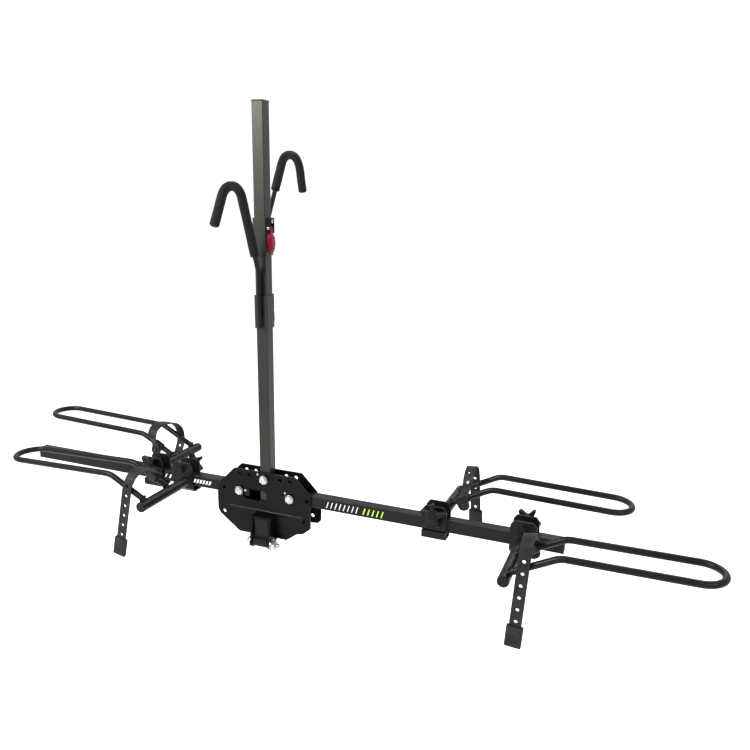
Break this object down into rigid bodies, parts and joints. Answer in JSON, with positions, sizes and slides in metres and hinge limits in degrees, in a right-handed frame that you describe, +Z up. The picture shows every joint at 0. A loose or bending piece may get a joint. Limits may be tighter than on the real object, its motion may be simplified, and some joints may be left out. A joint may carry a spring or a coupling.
{
  "type": "hitch mounted bike rack",
  "caption": "Hitch rack for bicycles: square shank, tilting hub, mast with sliding padded frame hooks, and folding arms with sliding wheel hoops.",
  "frame": {"origin": "centre of the hitch pin hole, on the shank's centre line", "axes": "+X along the right arm, seen from behind the car; +Y into the receiver, towards the car; +Z up along the mast"},
  "size_m": [1.6146, 0.3715, 0.9374],
  "materials": {
    "black_steel": "satin powder coat",
    "zinc_hardware": "bright zinc plate",
    "latch_steel": "semi gloss black",
    "black_plastic": "moulded, matt",
    "nylon": "natural nylon",
    "hook_foam": "closed cell foam",
    "strap_rubber": "matt rubber",
    "red_plastic": "satin"
  },
  "bodies": {
    "shank": {"shank_tube": "black_steel", "shank_head": "black_steel"},
    "hub": {"tilt_channel": "black_steel", "tilt_bolt": "zinc_hardware", "hub_plate_outer": "black_steel", "hub_plate_inner": "black_steel", "mast_bolt": "zinc_hardware", "arm_pivot_bolts": "zinc_hardware", "arm_stop_spacers": "black_steel", "mast_tube": "black_steel", "mast_cap": "black_plastic"},
    "left_arm": {"left_arm_tube": "black_steel", "left_arm_bush": "nylon", "left_arm_plug": "black_plastic"},
    "right_arm": {"right_arm_tube": "black_steel", "right_arm_bush": "nylon", "right_arm_plug": "black_plastic"},
    "rear_left_holder": {"rear_left_clamp_bracket": "black_steel", "rear_left_clamp_jaw": "black_steel", "rear_left_cross_tube": "black_steel", "rear_left_tube_plug": "black_plastic", "rear_left_wheel_hoop": "black_steel", "rear_left_wheel_strap": "strap_rubber"},
    "rear_left_knob": {"rear_left_clamp_knob": "black_plastic", "rear_left_clamp_bolt": "black_steel"},
    "rear_right_holder": {"rear_right_clamp_bracket": "black_steel", "rear_right_clamp_jaw": "black_steel", "rear_right_cross_tube": "black_steel", "rear_right_tube_plug": "black_plastic", "rear_right_wheel_hoop": "black_steel", "rear_right_wheel_strap": "strap_rubber"},
    "rear_right_knob": {"rear_right_clamp_knob": "black_plastic", "rear_right_clamp_bolt": "black_steel"},
    "front_left_holder": {"front_left_clamp_bracket": "black_steel", "front_left_clamp_jaw": "black_steel", "front_left_cross_tube": "black_steel", "front_left_tube_plug": "black_plastic", "front_left_wheel_hoop": "black_steel", "front_left_wheel_strap": "strap_rubber"},
    "front_left_knob": {"front_left_clamp_knob": "black_plastic", "front_left_clamp_bolt": "black_steel"},
    "front_right_holder": {"front_right_clamp_bracket": "black_steel", "front_right_clamp_jaw": "black_steel", "front_right_cross_tube": "black_steel", "front_right_tube_plug": "black_plastic", "front_right_wheel_hoop": "black_steel", "front_right_wheel_strap": "strap_rubber"},
    "front_right_knob": {"front_right_clamp_knob": "black_plastic", "front_right_clamp_bolt": "black_steel"},
    "upper_hook": {"upper_hook_sleeve": "black_steel", "upper_hook_rod": "black_steel", "upper_hook_foam": "hook_foam", "upper_latch_bracket": "latch_steel"},
    "upper_lever": {"upper_release_lever": "red_plastic"},
    "lower_hook": {"lower_hook_sleeve": "black_steel", "lower_hook_rod": "black_steel", "lower_hook_foam": "hook_foam", "lower_latch_bracket": "latch_steel"},
    "lower_lever": {"lower_release_lever": "red_plastic"}
  },
  "joints": [
    {"name": "tilt", "type": "hinge", "parent": "shank", "child": "hub", "pos_m": [0, -0.162, -0.028], "axis": [1, 0, 0], "range_deg": [0, 40]},
    {"name": "left_arm_fold", "type": "hinge", "parent": "hub", "child": "left_arm", "pos_m": [-0.062, -0.13, 0.08], "axis": [0, 1, 0], "range_deg": [0, 75]},
    {"name": "right_arm_fold", "type": "hinge", "parent": "hub", "child": "right_arm", "pos_m": [0.062, -0.13, 0.08], "axis": [0, -1, 0], "range_deg": [0, 75]},
    {"name": "rear_left_slide", "type": "slide", "parent": "left_arm", "child": "rear_left_holder", "axis": [-1, 0, 0], "range_m": [-0.04, 0.01]},
    {"name": "rear_left_knob_turn", "type": "hinge", "parent": "rear_left_holder", "child": "rear_left_knob", "pos_m": [-0.212, -0.13, 0.105], "axis": [0, 1, 0], "continuous": true},
    {"name": "rear_right_slide", "type": "slide", "parent": "right_arm", "child": "rear_right_holder", "axis": [1, 0, 0], "range_m": [-0.06, 0.04]},
    {"name": "rear_right_knob_turn", "type": "hinge", "parent": "rear_right_holder", "child": "rear_right_knob", "pos_m": [0.561, -0.13, 0.105], "axis": [0, 1, 0], "continuous": true},
    {"name": "front_left_slide", "type": "slide", "parent": "left_arm", "child": "front_left_holder", "axis": [-1, 0, 0], "range_m": [-0.01, 0.25]},
    {"name": "front_left_knob_turn", "type": "hinge", "parent": "front_left_holder", "child": "front_left_knob", "pos_m": [-0.293, -0.13, 0.105], "axis": [0, -1, 0], "continuous": true},
    {"name": "front_right_slide", "type": "slide", "parent": "right_arm", "child": "front_right_holder", "axis": [1, 0, 0], "range_m": [-0.23, 0.06]},
    {"name": "front_right_knob_turn", "type": "hinge", "parent": "front_right_holder", "child": "front_right_knob", "pos_m": [0.384, -0.13, 0.105], "axis": [0, -1, 0], "continuous": true},
    {"name": "upper_hook_slide", "type": "slide", "parent": "hub", "child": "upper_hook", "axis": [0, 0, 1], "range_m": [-0.012, 0.2]},
    {"name": "upper_lever_press", "type": "hinge", "parent": "upper_hook", "child": "upper_lever", "pos_m": [0.021, -0.136, 0.648], "axis": [0, -1, 0], "range_deg": [0, 25], "stiffness_Nm_per_rad": 0.5, "springref_deg": -5.73},
    {"name": "lower_hook_slide", "type": "slide", "parent": "hub", "child": "lower_hook", "axis": [0, 0, 1], "range_m": [-0.27, 0.015]},
    {"name": "lower_lever_press", "type": "hinge", "parent": "lower_hook", "child": "lower_lever", "pos_m": [0, -0.109, 0.493], "axis": [1, 0, 0], "range_deg": [0, 25], "stiffness_Nm_per_rad": 0.5, "springref_deg": -5.73}
  ]
}
